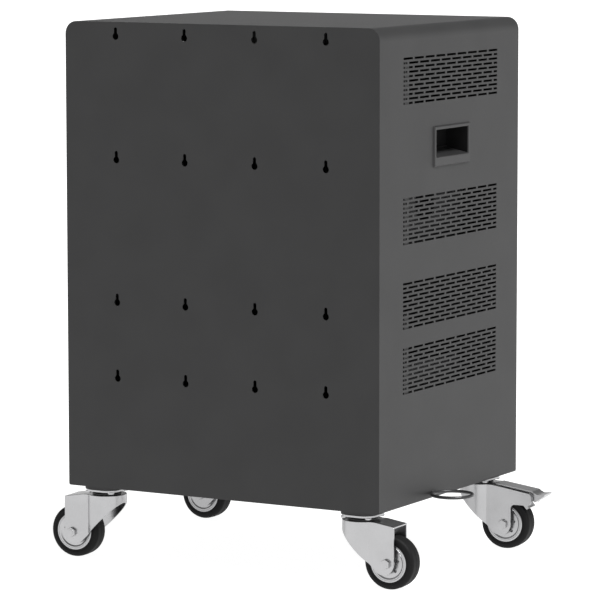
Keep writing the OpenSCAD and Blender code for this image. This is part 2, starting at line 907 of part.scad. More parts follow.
module door_right() {
    color(steel_black) difference() {
        door(1);
        translate([lock_x, front_y - over, lock_z]) rotate([-90, 0, 0])
            cylinder(d = lock_shaft_d + 2 * part_gap, h = 2 * over);
        translate([lock_x + rod_side, rod_y, door_top - over])
            cylinder(d = rod_d + 2 * slide_gap, h = 2 * over);
        translate([lock_x - rod_side, rod_y, door_low - over])
            cylinder(d = rod_d + 2 * slide_gap, h = 2 * over);
    }
}

// Cylinder along the depth of the cabinet, on the lock's axis
module on_lock_axis(d, y0, y1) {
    translate([lock_x, y0, lock_z]) rotate([-90, 0, 0]) cylinder(d = d, h = y1 - y0);
}

// Round rose between the lever and the door
module lock_rose() {
    color(zinc) difference() {
        on_lock_axis(rose_d, front_y - rose_t, front_y);
        on_lock_axis(lock_shaft_d + 2 * part_gap, front_y - rose_t - over, front_y + over);
    }
}

// Case that guides the shaft and both bolt rods behind the door's face
module lock_case() {
    y0 = front_y + sheet_t;
    color("slategray") difference() {
        translate([lock_x - case_w / 2, y0, lock_z - case_h / 2]) cube([case_w, case_d, case_h]);
        on_lock_axis(lock_shaft_d + 2 * run_gap, y0 - over, y0 + case_d + over);
        translate([lock_x + rod_side, rod_y, lock_z + case_h / 2 - rod_in])
            cylinder(d = rod_d + 2 * slide_gap, h = rod_in + over);
        translate([lock_x - rod_side, rod_y, lock_z - case_h / 2 - over])
            cylinder(d = rod_d + 2 * slide_gap, h = rod_in + over);
    }
}

// Lever, its hub and its shaft in one casting
module lock_handle() {
    hub_y = front_y - rose_t - hub_stand - hub_t;
    color(zinc) difference() {
        union() {
            on_lock_axis(hub_d, hub_y, hub_y + hub_t);
            on_lock_axis(lock_shaft_d, hub_y, door_back_y + cam_gap + cam_t + shaft_tail);
            translate([lock_x, hub_y, lock_z - lever_w / 2])
                cube([lever_len - lever_w / 2, lever_t, lever_w]);
            translate([lock_x + lever_len - lever_w / 2, hub_y, lock_z]) rotate([-90, 0, 0])
                cylinder(d = lever_w, h = lever_t);
        }
        on_lock_axis(cylinder_d + 2 * run_gap, hub_y - over, hub_y + cylinder_deep);
    }
}

// Key cylinder in the hub of the lever
module lock_cylinder() {
    hub_y = front_y - rose_t - hub_stand - hub_t;
    color([0.6, 0.6, 0.6]) difference() {
        on_lock_axis(cylinder_d, hub_y - cylinder_out, hub_y + cylinder_deep - slide_gap);
        translate([lock_x - key_slot_w / 2, hub_y - cylinder_out - over, lock_z - key_slot_l / 2])
            cube([key_slot_w, key_slot_deep + over, key_slot_l]);
    }
}

// Cam tongue on the end of the shaft, which turns in behind the left door
module lock_cam() {
    y0 = door_back_y + cam_gap;
    color(zinc) difference() {
        union() {
            on_lock_axis(cam_w, y0, y0 + cam_t);
            translate([lock_x - cam_w / 2, y0, lock_z - cam_reach])
                cube([cam_w, cam_t, cam_reach]);
        }
        on_lock_axis(lock_shaft_d, y0 - over, y0 + cam_t + over);
    }
}

// Bolt rods, drawn in at rest; the upper one moves up and the lower one down
module rod_upper() {
    z0 = lock_z + case_h / 2 - rod_in + part_gap;
    color(zinc) translate([lock_x + rod_side, rod_y, z0])
        cylinder(d = rod_d, h = door_top - rod_low_rest - z0);
}

module rod_lower() {
    z1 = lock_z - case_h / 2 + rod_in - part_gap;
    color(zinc) translate([lock_x - rod_side, rod_y, door_low + rod_low_rest])
        cylinder(d = rod_d, h = z1 - door_low - rod_low_rest);
}

// Moves a piece drawn for one caster, with its wheel trailing along +X, to corner i
module at_corner(i) {
    translate([caster_side[i] * caster_x, caster_end[i] * caster_y, 0])
        rotate([0, 0, caster_turn[i]]) children();
}

// Same corner without the swivel's turn
module under_corner(i) {
    translate([caster_side[i] * caster_x, caster_end[i] * caster_y, 0]) children();
}

// Rectangle with rounded corners round the origin
module rounded_box(w, d, r) {
    square([w, d - 2 * r], center = true);
    square([w - 2 * r, d], center = true);
    for (x = [-1, 1])
        for (y = [-1, 1])
            translate([x * (w / 2 - r), y * (d / 2 - r)]) circle(r = r);
}

// Places children on the four bolts of a caster plate
module at_plate_bolts() {
    bolt = plate_w / 2 - plate_bolt_in;
    for (x = [-bolt, bolt])
        for (y = [-bolt, bolt])
            translate([x, y, 0]) children();
}

// Steel pads welded under the floor where the casters bolt on
module caster_pads() {
    color(steel_black) for (i = [0 : 3])
        under_corner(i) difference() {
            intersection() {
                translate([0, pad_w / 2, 0]) rotate([90, 0, 0]) linear_extrude(pad_w) polygon([
                    [-pad_w / 2, 0], [pad_w / 2, 0],
                    [pad_w / 2 - pad_taper, -pad_t], [pad_taper - pad_w / 2, -pad_t]]);
                translate([-pad_w / 2, 0, 0]) rotate([90, 0, 90]) linear_extrude(pad_w) polygon([
                    [-pad_w / 2, 0], [pad_w / 2, 0],
                    [pad_w / 2 - pad_taper, -pad_t], [pad_taper - pad_w / 2, -pad_t]]);
            }
            at_plate_bolts() translate([0, 0, -pad_t - over])
                cylinder(d = plate_screw_d + 2 * nut_gap, h = pad_t + 2 * over);
        }
}

// Caster plates with their upper bearing races
module caster_plates() {
    color(zinc) for (i = [0 : 3])
        under_corner(i) difference() {
            union() {
                translate([0, 0, -plate_low]) linear_extrude(plate_t)
                    rounded_box(plate_w, plate_w, plate_corner_r);
                translate([0, 0, -plate_low - race_t]) cylinder(r = race_r, h = race_t);
            }
            at_plate_bolts() translate([0, 0, -plate_low - over])
                cylinder(d = plate_screw_d + 2 * nut_gap, h = plate_t + 2 * over);
        }
}

// Screws that hold the caster plates
module plate_screws() {
    color(zinc) for (i = [0 : 3])
        under_corner(i) at_plate_bolts() {
            translate([0, 0, -plate_low - plate_screw_head_t])
                cylinder(d = plate_screw_head_d, h = plate_screw_head_t);
            translate([0, 0, -plate_low]) cylinder(d = plate_screw_d, h = plate_low);
        }
}

// Pins that the forks swivel on, headed under the fork's top
module kingpins() {
    low = fork_top + fork_t + fork_boss_t + slide_gap;
    color(zinc) for (i = [0 : 3])
        under_corner(i) {
            translate([0, 0, -low]) cylinder(r = kingpin_r, h = low - plate_low - race_t);
            translate([0, 0, -low - kingpin_head_t])
                cylinder(r = kingpin_head_r, h = kingpin_head_t);
        }
}

// Point where a line from p just touches the lower side of a circle round c
function touch_point(p, c, r) =
    let (d = norm(c - p), a = atan2(c[1] - p[1], c[0] - p[0]) - asin(r / d), l = sqrt(d * d - r * r))
    [p[0] + l * cos(a), p[1] + l * sin(a)];

// Height of the sloping top edge of a fork at x
function fork_edge(x) = -fork_top - max(0, x - fork_slope_x) * fork_slope;

// Side of a fork drawn in x and z, with an arm for the pedal if it is braked
module fork_side(braked) {
    tail_x = caster_trail + fork_tail;
    lobe = [tail_x - fork_lobe_r, wheel_z];
    skirt = [-fork_head_r - over, -fork_top - fork_skirt + over];
    touch = touch_point(skirt, lobe, fork_lobe_r);
    translate(lobe) circle(r = fork_lobe_r, $fn = 96);
    polygon([skirt, touch, lobe, [tail_x, wheel_z], [tail_x, fork_edge(tail_x)],
        [fork_slope_x, -fork_top], [-fork_head_r - over, -fork_top]]);
    if (braked) {
        end_x = caster_trail + arm_tail;
        low = fork_edge(end_x) - arm_h;
        r = arm_corner_r;
        difference() {
            union() {
                polygon([[tail_x - over, fork_edge(tail_x - over)], [tail_x - over, low],
                    [end_x - r, low], [end_x, low + r], [end_x, fork_edge(end_x) - r],
                    [end_x - r, fork_edge(end_x - r)]]);
                translate([end_x - r, low + r]) circle(r = r);
                translate([end_x - r, fork_edge(end_x - r) - r]) circle(r = r);
                translate([tail_x - over, low - arm_fillet_r])
                    square([arm_fillet_r + over, arm_fillet_r + over]);
            }
            translate([tail_x + arm_fillet_r, low - arm_fillet_r]) circle(r = arm_fillet_r);
        }
    }
}

// Plan of a fork: its round head and its two straight sides, shrunk by inset
module fork_plan(inset, tail_x) {
    circle(r = fork_head_r - inset, $fn = 96);
    translate([0, inset - fork_wide]) square([tail_x, 2 * (fork_wide - inset)]);
}

// Pressed fork with its wheel trailing along +X
module fork(braked) {
    tail_x = caster_trail + (braked ? arm_tail : fork_tail);
    open_x = tail_x + over;
    difference() {
        union() {
            intersection() {
                translate([0, 0, -caster_h]) linear_extrude(caster_h) fork_plan(0, tail_x);
                between_y(-fork_head_r - over, fork_head_r + over) fork_side(braked);
            }
            translate([0, 0, -fork_top]) cylinder(r = race_r, h = fork_top - plate_low - race_t - slide_gap);
        }
        difference() {
            translate([0, 0, -caster_h]) linear_extrude(caster_h) fork_plan(fork_t, open_x);
            between_y(-caster_h, caster_h) polygon([
                [-fork_head_r - over, over], [-fork_head_r - over, -fork_top - fork_t],
                [fork_slope_x, -fork_top - fork_t],
                [caster_trail + fork_tail, fork_edge(caster_trail + fork_tail) - fork_t],
                [caster_trail + fork_tail, over]]);
            translate([0, 0, -fork_top - fork_t - fork_boss_t]) cylinder(r = 2 * kingpin_r, h = fork_boss_t);
        }
        translate([0, 0, -caster_h]) cylinder(r = kingpin_r + run_gap, h = caster_h);
        translate([caster_trail, -fork_head_r, wheel_z]) rotate([-90, 0, 0])
            cylinder(r = axle_r + nut_gap, h = 2 * fork_head_r);
        if (braked)
            translate([caster_trail + brake_pin_tail, -fork_head_r, -fork_top - brake_pin_drop])
                rotate([-90, 0, 0]) cylinder(r = brake_pin_r + run_gap, h = 2 * fork_head_r);
    }
}

// Axle bolt with its hexagon head on one side and its nut on the other
module axle() {
    translate([caster_trail, -fork_wide, wheel_z]) rotate([-90, 0, 0])
        cylinder(r = axle_r, h = 2 * fork_wide);
    for (side = [-1, 1])
        translate([caster_trail, side * (fork_wide + axle_nut_t / 2), wheel_z]) rotate([-90, 0, 0])
            cylinder(d = axle_nut_w / cos(30), h = axle_nut_t, center = true, $fn = 6);
}

// Turns a drawing of radius and width round the axle
module on_axle() {
    translate([caster_trail, 0, wheel_z]) rotate([90, 0, 0]) rotate_extrude($fn = 96) children();
}

// Rubber tyre with rounded shoulders
module tyre() {
    r = wheel_d / 2;
    seat = wheel_disc_r + slide_gap;
    s = min(tyre_shoulder, (r - seat) / 2);
    on_axle() {
        translate([seat, -tyre_w / 2]) square([r - s - seat, tyre_w]);
        translate([r - s - over, s - tyre_w / 2]) square([s + over, tyre_w - 2 * s]);
        for (side = [-1, 1])
            translate([r - s, side * (tyre_w / 2 - s)]) circle(r = s);
    }
}

// Steel wheel centre with a dished face and a bored boss
module hub() {
    bore = axle_r + run_gap;
    disc_half = tyre_w / 2 + disc_out;
    disc_boss_half = disc_half + disc_boss_out;
    on_axle() polygon([[bore, -disc_boss_half], [disc_boss_r, -disc_boss_half],
        [disc_boss_r, disc_dish - disc_half], [disc_dish_r, disc_dish - disc_half],
        [disc_dish_r + disc_dish, -disc_half], [wheel_disc_r, -disc_half],
        [wheel_disc_r, disc_half], [disc_dish_r + disc_dish, disc_half],
        [disc_dish_r, disc_half - disc_dish], [disc_boss_r, disc_half - disc_dish],
        [disc_boss_r, disc_boss_half], [bore, disc_boss_half]]);
}

// Side of the pedal's plate, drawn in x and z: it lies along the arms, turns down round their ends
// and stands out behind them in a nose
module pedal_drawing() {
    root_x = caster_trail + pedal_root;
    end_x = caster_trail + arm_tail;
    nose = [caster_trail + pedal_nose, fork_edge(end_x)];
    bend_x = end_x - arm_corner_r;
    bend = [bend_x, fork_edge(bend_x) - arm_corner_r];
    in_r = arm_corner_r + pedal_end_gap;
    foot_z = fork_edge(end_x) - arm_h + arm_corner_r - nose_drop;
    polygon(concat(
        [[root_x, fork_edge(root_x) + pedal_gap], [root_x, fork_edge(root_x) + pedal_gap + pedal_t]],
        [for (a = [60 : -10 : 40]) bend + (in_r + pedal_t) * [cos(a), sin(a)]],
        [nose - [nose_l, nose_dip], nose, nose - [nose_lean, nose_t],
            [end_x + pedal_end_gap + pedal_t, foot_z], [end_x + pedal_end_gap, foot_z]],
        [for (a = [0 : 10 : 60]) bend + in_r * [cos(a), sin(a)]]));
}

// Brake pedal between the fork's arms, with two lugs on the pin that it tips about
module brake_pedal() {
    pin = [caster_trail + brake_pin_tail, -fork_top - brake_pin_drop];
    lug_y = pedal_half_w - pedal_lug_t;
    lug_r = 3 * brake_pin_r;
    between_y(-pedal_half_w, pedal_half_w) pedal_drawing();
    for (y = [-pedal_half_w, lug_y])
        between_y(y, y + pedal_lug_t) {
            translate(pin) circle(r = lug_r);
            translate([pin[0] - lug_r, pin[1]])
                square([2 * lug_r, fork_edge(pin[0] + lug_r) + pedal_gap + pedal_t / 2 - pin[1]]);
        }
    translate([pin[0], -fork_wide, pin[1]]) rotate([-90, 0, 0])
        cylinder(r = brake_pin_r, h = 2 * fork_wide);
    between_y(-lug_y - shoe_overlap, lug_y + shoe_overlap) brake_shoe_drawing(pin);
}

// Shoe that hangs from the pedal's pin and faces the tyre, drawn in x and z
module brake_shoe_drawing(pin) {
    shoe_z = wheel_z + (wheel_d / 2 + shoe_gap + shoe_t / 2) * sin(shoe_turn);
    translate([caster_trail, wheel_z]) rotate(shoe_turn)
        translate([wheel_d / 2 + shoe_gap, -shoe_l / 2]) square([shoe_t, shoe_l]);
    translate([pin[0] - shoe_t / 2, shoe_z]) square([shoe_t, pin[1] - shoe_z]);
}

module fork_back_left() { color(zinc) at_corner(0) fork(false); }
module fork_back_right() { color(zinc) at_corner(1) fork(false); }
module fork_front_left() { color(zinc) at_corner(2) fork(true); }
module fork_front_right() { color(zinc) at_corner(3) fork(true); }
module axle_back_left() { color(zinc) at_corner(0) axle(); }
module axle_back_right() { color(zinc) at_corner(1) axle(); }
module axle_front_left() { color(zinc) at_corner(2) axle(); }
module axle_front_right() { color(zinc) at_corner(3) axle(); }
module tyre_back_left() { color([0.12, 0.12, 0.12]) at_corner(0) tyre(); }
module tyre_back_right() { color([0.12, 0.12, 0.12]) at_corner(1) tyre(); }
module tyre_front_left() { color([0.12, 0.12, 0.12]) at_corner(2) tyre(); }
module tyre_front_right() { color([0.12, 0.12, 0.12]) at_corner(3) tyre(); }
module hub_back_left() { color(zinc) at_corner(0) hub(); }
module hub_back_right() { color(zinc) at_corner(1) hub(); }
module hub_front_left() { color(zinc) at_corner(2) hub(); }
module hub_front_right() { color(zinc) at_corner(3) hub(); }
module brake_pedal_left() { color(zinc) at_corner(2) brake_pedal(); }
module brake_pedal_right() { color(zinc) at_corner(3) brake_pedal(); }

shell();
back_panel();
base_pan();
front_frame();
shelf_lower();
shelf_upper();
dividers_lower();
dividers_upper();
rear_panel_lower();
rear_panel_upper();
power_strip_lower();
power_strip_upper();
wiring_duct();
power_box();
inlet_socket();
rocker_frame();
rocker();
breaker_body();
reset_button();
handle_cup_left();
handle_cup_right();
cable_ring();
ring_nut();
hinge_pins();
door_seals();
door_left();
door_right();
lock_rose();
lock_case();
lock_handle();
lock_cylinder();
lock_cam();
rod_upper();
rod_lower();
caster_pads();
caster_plates();
plate_screws();
kingpins();
fork_back_left();
fork_back_right();
fork_front_left();
fork_front_right();
axle_back_left();
axle_back_right();
axle_front_left();
axle_front_right();
tyre_back_left();
tyre_back_right();
tyre_front_left();
tyre_front_right();
hub_back_left();
hub_back_right();
hub_front_left();
hub_front_right();
brake_pedal_left();
brake_pedal_right();
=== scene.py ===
import json
import math

import bmesh
import bpy
from mathutils import Matrix, Vector


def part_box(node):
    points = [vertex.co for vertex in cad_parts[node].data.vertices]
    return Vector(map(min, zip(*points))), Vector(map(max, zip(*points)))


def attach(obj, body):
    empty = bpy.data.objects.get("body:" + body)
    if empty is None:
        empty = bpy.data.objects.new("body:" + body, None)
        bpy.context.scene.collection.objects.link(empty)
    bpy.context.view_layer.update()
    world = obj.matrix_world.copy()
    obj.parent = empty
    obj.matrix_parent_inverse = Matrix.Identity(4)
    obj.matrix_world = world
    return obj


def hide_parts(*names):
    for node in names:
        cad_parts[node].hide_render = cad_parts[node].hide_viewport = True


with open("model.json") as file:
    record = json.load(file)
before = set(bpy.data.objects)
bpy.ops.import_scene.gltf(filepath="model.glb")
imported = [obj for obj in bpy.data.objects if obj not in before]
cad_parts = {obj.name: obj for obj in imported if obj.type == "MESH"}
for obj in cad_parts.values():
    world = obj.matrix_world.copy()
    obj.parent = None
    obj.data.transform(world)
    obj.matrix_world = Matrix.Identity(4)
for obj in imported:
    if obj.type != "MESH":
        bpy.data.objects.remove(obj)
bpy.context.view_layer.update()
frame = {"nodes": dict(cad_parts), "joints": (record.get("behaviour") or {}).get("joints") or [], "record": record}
scene = bpy.context.scene
floorZ = -0.1145
print("frame loaded")

# camera, lights and floor
studio = {
    "lens": 222.93,
    "spot": (-2.81677, 4.90074, 0.94831),
    "right": (-0.86776633, -0.49697161, -0.00090122),
    "up": (0.05792047, -0.10293614, 0.99300019),
    "back": (-0.49358567, 0.86163993, 0.11810934),
    "sensor": 36,
    "reach": 200,
    "sky": (0.13, 0.35, 1.03, 0.15),  # bright up to the first height, dim above the second
    "sunPower": 4.4,
    "sunAngle": 22,
    "sunDirection": (0.46, -0.07, -0.88),
    "floorRadius": 80,
    "floorColour": (0.3, 0.3, 0.3, 1),
    "floorRough": 0.9,
    "floorSpecular": 0.1,
    "floorGlow": 0.96,
}

cameraData = bpy.data.cameras.new("photoCamera")
cameraData.lens = studio["lens"]
cameraData.sensor_width = studio["sensor"]
cameraData.clip_end = studio["reach"]
camera = bpy.data.objects.new("photoCamera", cameraData)
scene.collection.objects.link(camera)
turn = Matrix((studio["right"], studio["up"], studio["back"])).transposed()
camera.matrix_world = Matrix.Translation(studio["spot"]) @ turn.to_4x4()
scene.camera = camera
scene.view_settings.view_transform = "Standard"

world = bpy.data.worlds.new("studioWorld")
scene.world = world
world.use_nodes = True
sky = world.node_tree  # bright round the horizon, darker overhead
direction = sky.nodes.new("ShaderNodeTexCoord")
height = sky.nodes.new("ShaderNodeSeparateXYZ")
sky.links.new(direction.outputs["Generated"], height.inputs["Vector"])
fade = sky.nodes.new("ShaderNodeMapRange")
for socket, value in zip(("From Min", "From Max", "To Min", "To Max"), studio["sky"]):
    fade.inputs[socket].default_value = value
sky.links.new(height.outputs["Z"], fade.inputs["Value"])
sky.links.new(fade.outputs["Result"], sky.nodes["Background"].inputs["Strength"])
sky.nodes["Background"].inputs["Color"].default_value = (1, 1, 1, 1)

sunData = bpy.data.lights.new("keySun", "SUN")
sunData.energy = studio["sunPower"]
sunData.angle = math.radians(studio["sunAngle"])
sun = bpy.data.objects.new("keySun", sunData)
scene.collection.objects.link(sun)
sun.rotation_euler = Vector(studio["sunDirection"]).to_track_quat("-Z", "Y").to_euler()


def nodeMaterial(name):
    material = bpy.data.materials.new(name)
    material.use_nodes = True
    return material, material.node_tree.nodes, material.node_tree.links


def floorMaterial():
    material, nodes, links = nodeMaterial("studioFloor")
    shader = nodes["Principled BSDF"]
    shader.inputs["Base Color"].default_value = studio["floorColour"]
    shader.inputs["Roughness"].default_value = studio["floorRough"]
    shader.inputs["Specular IOR Level"].default_value = studio["floorSpecular"]
    shader.inputs["Emission Color"].default_value = (1, 1, 1, 1)
    shader.inputs["Emission Strength"].default_value = studio["floorGlow"]
    return material


bpy.ops.object.select_all(action="DESELECT")
bpy.ops.mesh.primitive_circle_add(vertices=96, radius=studio["floorRadius"], fill_type="NGON",
                                  location=(0, 0, floorZ))
floor = bpy.context.object
floor.name = "studioFloor"
floor.data.materials.append(floorMaterial())
print("studio ready")


# finishes: a fine grain for gloss and relief, over broad patches of slightly different colour
plainLook = {"grain": 900, "grainDetail": 3, "grainBand": (0.3, 0.7), "patch": 14, "patchDetail": 5,
             "patchBand": (0.35, 0.65), "tint": 0.1, "roughSpread": 0.05, "bump": 0.2, "height": 0.0001,
             "metal": 0, "specular": 0.5}


def addNoise(nodes, links, coords, scale, detail):
    noise = nodes.new("ShaderNodeTexNoise")
    noise.inputs["Scale"].default_value = scale
    noise.inputs["Detail"].default_value = detail
    links.new(coords.outputs["Object"], noise.inputs["Vector"])
    return noise


def makeFinish(name, own):
    look = {**plainLook, **own}
    material, nodes, links = nodeMaterial(name)
    shader = nodes["Principled BSDF"]
    coords = nodes.new("ShaderNodeTexCoord")
    grain = addNoise(nodes, links, coords, look["grain"], look["grainDetail"])
    patches = addNoise(nodes, links, coords, look["patch"], look["patchDetail"])
    ramp = nodes.new("ShaderNodeValToRGB")
    base = Vector(look["colour"])
    shades = (base * (1 - look["tint"]), base * (1 + look["tint"]))
    for stop, place, shade in zip(ramp.color_ramp.elements, look["patchBand"], shades):
        stop.position = place
        stop.color = (*shade, 1)
    links.new(patches.outputs["Fac"], ramp.inputs["Fac"])
    links.new(ramp.outputs["Color"], shader.inputs["Base Color"])
    rough = nodes.new("ShaderNodeMapRange")
    rough.inputs["From Min"].default_value, rough.inputs["From Max"].default_value = look["grainBand"]
    rough.inputs["To Min"].default_value = look["rough"] - look["roughSpread"]
    rough.inputs["To Max"].default_value = look["rough"] + look["roughSpread"]
    links.new(grain.outputs["Fac"], rough.inputs["Value"])
    links.new(rough.outputs["Result"], shader.inputs["Roughness"])
    bump = nodes.new("ShaderNodeBump")
    bump.inputs["Strength"].default_value = look["bump"]
    bump.inputs["Distance"].default_value = look["height"]
    links.new(grain.outputs["Fac"], bump.inputs["Height"])
    links.new(bump.outputs["Normal"], shader.inputs["Normal"])
    shader.inputs["Metallic"].default_value = look["metal"]
    shader.inputs["Specular IOR Level"].default_value = look["specular"]
    return material


looks = {
    "powderCoat": {"colour": (0.0272, 0.0272, 0.0276), "rough": 0.5, "specular": 0.28, "tint": 0.06,
                   "grain": 1400, "bump": 0.25, "height": 0.00008},
    "dividerCoat": {"colour": (0.05, 0.05, 0.052), "rough": 0.5,
                    "grain": 1400, "bump": 0.25, "height": 0.00008},
    "zincPlate": {"colour": (0.42, 0.42, 0.426), "rough": 0.3, "roughSpread": 0.03, "metal": 1, "patch": 30,
                  "tint": 0.035, "bump": 0.04, "height": 0.00003},
    "satinChrome": {"colour": (0.46, 0.46, 0.468), "rough": 0.2, "metal": 1, "grain": 700, "bump": 0.06},
    "raceSteel": {"colour": (0.045, 0.045, 0.046), "rough": 0.4, "metal": 0.6, "grain": 700, "bump": 0.1},
    "ringSteel": {"colour": (0.05, 0.05, 0.052), "rough": 0.35, "metal": 0.6, "grain": 700, "bump": 0.1},
    "tyreRubber": {"colour": (0.004, 0.004, 0.0043), "rough": 0.65, "specular": 0.2,
                   "grain": 1100, "bump": 0.3},
    "blackMoulding": {"colour": (0.010, 0.010, 0.0105), "rough": 0.45, "specular": 0.2,
                      "grain": 1600, "bump": 0.3},
    # painted shade: a near-black finish standing in for the shade inside the handle pockets
    "pocketPaintedShade": {"colour": (0.008, 0.008, 0.0083), "rough": 0.6, "specular": 0.12,
                     "grain": 1800, "bump": 0.3, "height": 0.00006},
    "pocketMoulding": {"colour": (0.0225, 0.0225, 0.023), "rough": 0.42, "specular": 0.32,
                       "grain": 1800, "bump": 0.3, "height": 0.00006},
    "outletMoulding": {"colour": (0.035, 0.035, 0.037), "rough": 0.3, "grain": 1200, "bump": 0.08},
    "glossMoulding": {"colour": (0.02, 0.02, 0.022), "rough": 0.2, "grain": 500, "bump": 0.05},
    "redMoulding": {"colour": (0.45, 0.02, 0.02), "rough": 0.25, "grain": 500, "bump": 0.05},
    "greyExtrusion": {"colour": (0.5, 0.5, 0.49), "rough": 0.45, "bump": 0.1},
    "foamRubber": {"colour": (0.015, 0.015, 0.015), "rough": 0.9,
                   "grain": 500, "bump": 0.8, "height": 0.0003},
}
finishes = {name: makeFinish(name, look) for name, look in looks.items()}

slotFinish = {
    "body_paint": "powderCoat", "divider_paint": "dividerCoat", "strip_plastic": "blackMoulding",
    "duct_plastic": "greyExtrusion", "black_plastic": "blackMoulding", "rocker_plastic": "glossMoulding",
    "button_plastic": "redMoulding", "ring_steel": "ringSteel", "zinc_steel": "zincPlate",
    "fork_zinc": "zincPlate", "hub_metal": "zincPlate", "foam": "foamRubber",
    "lock_chrome": "satinChrome", "tyre_rubber": "tyreRubber",
}
for part in frame["record"]["subparts"]:
    piece = frame["nodes"][part["node"]]
    for place in piece.material_slots:
        place.material = finishes[slotFinish[part["material_slot"]]]
print("finishes on the frame")

# small helpers for modelling
axes = {"X": Vector((1, 0, 0)), "Y": Vector((0, 1, 0)), "Z": Vector((0, 0, 1))}
sharpAngle = 40  # degrees past which an edge is rounded


def mm(value):
    return value / 1000


def deselectAll():
    if bpy.context.object and bpy.context.object.mode != "OBJECT":
        bpy.ops.object.mode_set(mode="OBJECT")
    bpy.ops.object.select_all(action="DESELECT")


def takeUp(piece):
    deselectAll()
    piece.select_set(True)
    bpy.context.view_layer.objects.active = piece


def named(name):
    piece = bpy.context.object
    piece.name = piece.data.name = name
    bpy.ops.object.transform_apply(location=True, rotation=True, scale=True)
    return piece


def addCylinder(name, radius, low, high, spot=(0, 0, 0), axis="Z", sides=64):
    # spot is a point on the axis, low and high are measured along it
    deselectAll()
    quarter = math.pi / 2
    turned = {"X": (0, quarter, 0), "Y": (-quarter, 0, 0), "Z": (0, 0, 0)}[axis]
    place = Vector(spot) + axes[axis] * ((low + high) / 2)
    bpy.ops.mesh.primitive_cylinder_add(vertices=sides, radius=radius, depth=high - low,
                                        location=place, rotation=turned)
    return named(name)


def addBlock(name, low, high):
    deselectAll()
    low, high = Vector(low), Vector(high)
    bpy.ops.mesh.primitive_cube_add(size=1, location=(low + high) / 2, scale=high - low)
    return named(name)


def pickEdges(piece, test):
    takeUp(piece)
    bpy.ops.object.mode_set(mode="EDIT")
    bpy.ops.mesh.select_mode(type="EDGE")
    bpy.ops.mesh.select_all(action="DESELECT")
    mesh = bmesh.from_edit_mesh(piece.data)
    for edge in mesh.edges:
        if test(edge.verts[0].co, edge.verts[1].co, edge):
            edge.select_set(True)
    bmesh.update_edit_mesh(piece.data)


def roundEdges(piece, width, segments=3, test=None):
    # bevels the edges that pass the test, or all sharp ones, by a width in millimetres
    if test:
        pickEdges(piece, test)
        bpy.ops.mesh.bevel(offset=mm(width), segments=segments, affect="EDGES", clamp_overlap=True)
        bpy.ops.object.mode_set(mode="OBJECT")
        return
    takeUp(piece)
    soft = piece.modifiers.new("softEdges", "BEVEL")
    soft.width = mm(width)
    soft.segments = segments
    soft.limit_method = "ANGLE"
    soft.angle_limit = math.radians(sharpAngle)
    bpy.ops.object.modifier_apply(modifier=soft.name)


def smooth(piece, angle):
    # smooth shading that keeps large flat faces flat
    takeUp(piece)
    bpy.ops.object.shade_smooth_by_angle(angle=math.radians(angle))
    weigh = piece.modifiers.new("flatFaces", "WEIGHTED_NORMAL")
    weigh.mode = "FACE_AREA"
    weigh.weight = 100
    weigh.keep_sharp = True
    bpy.ops.object.modifier_apply(modifier=weigh.name)


def cutWith(piece, tool):
    takeUp(piece)
    cut = piece.modifiers.new("cut", "BOOLEAN")
    cut.operation = "DIFFERENCE"
    cut.solver = "EXACT"
    cut.object = tool
    bpy.ops.object.modifier_apply(modifier=cut.name)
    discard(tool)


def joinPieces(name, pieces):
    deselectAll()
    for piece in pieces:
        piece.select_set(True)
    bpy.context.view_layer.objects.active = pieces[0]
    bpy.ops.object.join()
    return named(name)


def spinProfile(name, profile, spot, axis="Y", steps=96):
    # profile is a closed loop of (radius, place along the axis) in millimetres
    deselectAll()
    bpy.ops.mesh.primitive_circle_add(vertices=len(profile), radius=0.01, fill_type="NOTHING")
    piece = bpy.context.object
    along = axes[axis]
    for corner, (radius, place) in zip(piece.data.vertices, profile):
        corner.co = axes["X"] * mm(radius) + along * mm(place)
    bpy.ops.object.mode_set(mode="EDIT")
    bpy.ops.mesh.select_all(action="SELECT")
    bpy.ops.mesh.spin(steps=steps, angle=2 * math.pi, center=(0, 0, 0), axis=along)
    bpy.ops.mesh.select_all(action="SELECT")
    bpy.ops.mesh.remove_doubles(threshold=mm(0.001))
    bpy.ops.mesh.normals_make_consistent(inside=False)
    bpy.ops.object.mode_set(mode="OBJECT")
    piece.location = spot
    return named(name)


def copyNode(node, name, dissolve=0.5):
    # a merged copy of a CAD node; dissolve joins faces that are flat to within so many degrees
    deselectAll()
    piece = bpy.data.objects.new(name, frame["nodes"][node].data.copy())
    piece.data.name = name
    scene.collection.objects.link(piece)
    takeUp(piece)
    bpy.ops.object.mode_set(mode="EDIT")
    bpy.ops.mesh.select_all(action="SELECT")
    bpy.ops.mesh.remove_doubles(threshold=mm(0.005))
    if dissolve:
        bpy.ops.mesh.dissolve_limited(angle_limit=math.radians(dissolve))
    bpy.ops.object.mode_set(mode="OBJECT")
    return piece


def skinNode(node, name, width, segments=2, dissolve=0.5):
    piece = copyNode(node, name, dissolve)
    roundEdges(piece, width, segments)
    return piece


def copyTo(master, name, place):
    piece = master.copy()
    piece.data = master.data.copy()
    piece.name = piece.data.name = name
    scene.collection.objects.link(piece)
    piece.data.transform(place)
    return piece


def discard(*pieces):
    for piece in pieces:
        bpy.data.objects.remove(piece, do_unlink=True)


def arcPoints(centre, radius, start, end, count):
    # points of an arc as (radius, place along the axis), its angles in degrees
    angles = [math.radians(start + (end - start) * i / count) for i in range(count + 1)]
    return [(centre[0] + radius * math.cos(a), centre[1] + radius * math.sin(a)) for a in angles]


def grooveIn(level, start, end, slope, deep):
    # four corners of a shallow groove turned into a face
    return [(start, level), (start + slope, level + deep), (end - slope, level + deep), (end, level)]


def mirrored(lower):
    # a closed profile from its lower half
    return lower + [(radius, -place) for radius, place in reversed(lower)]


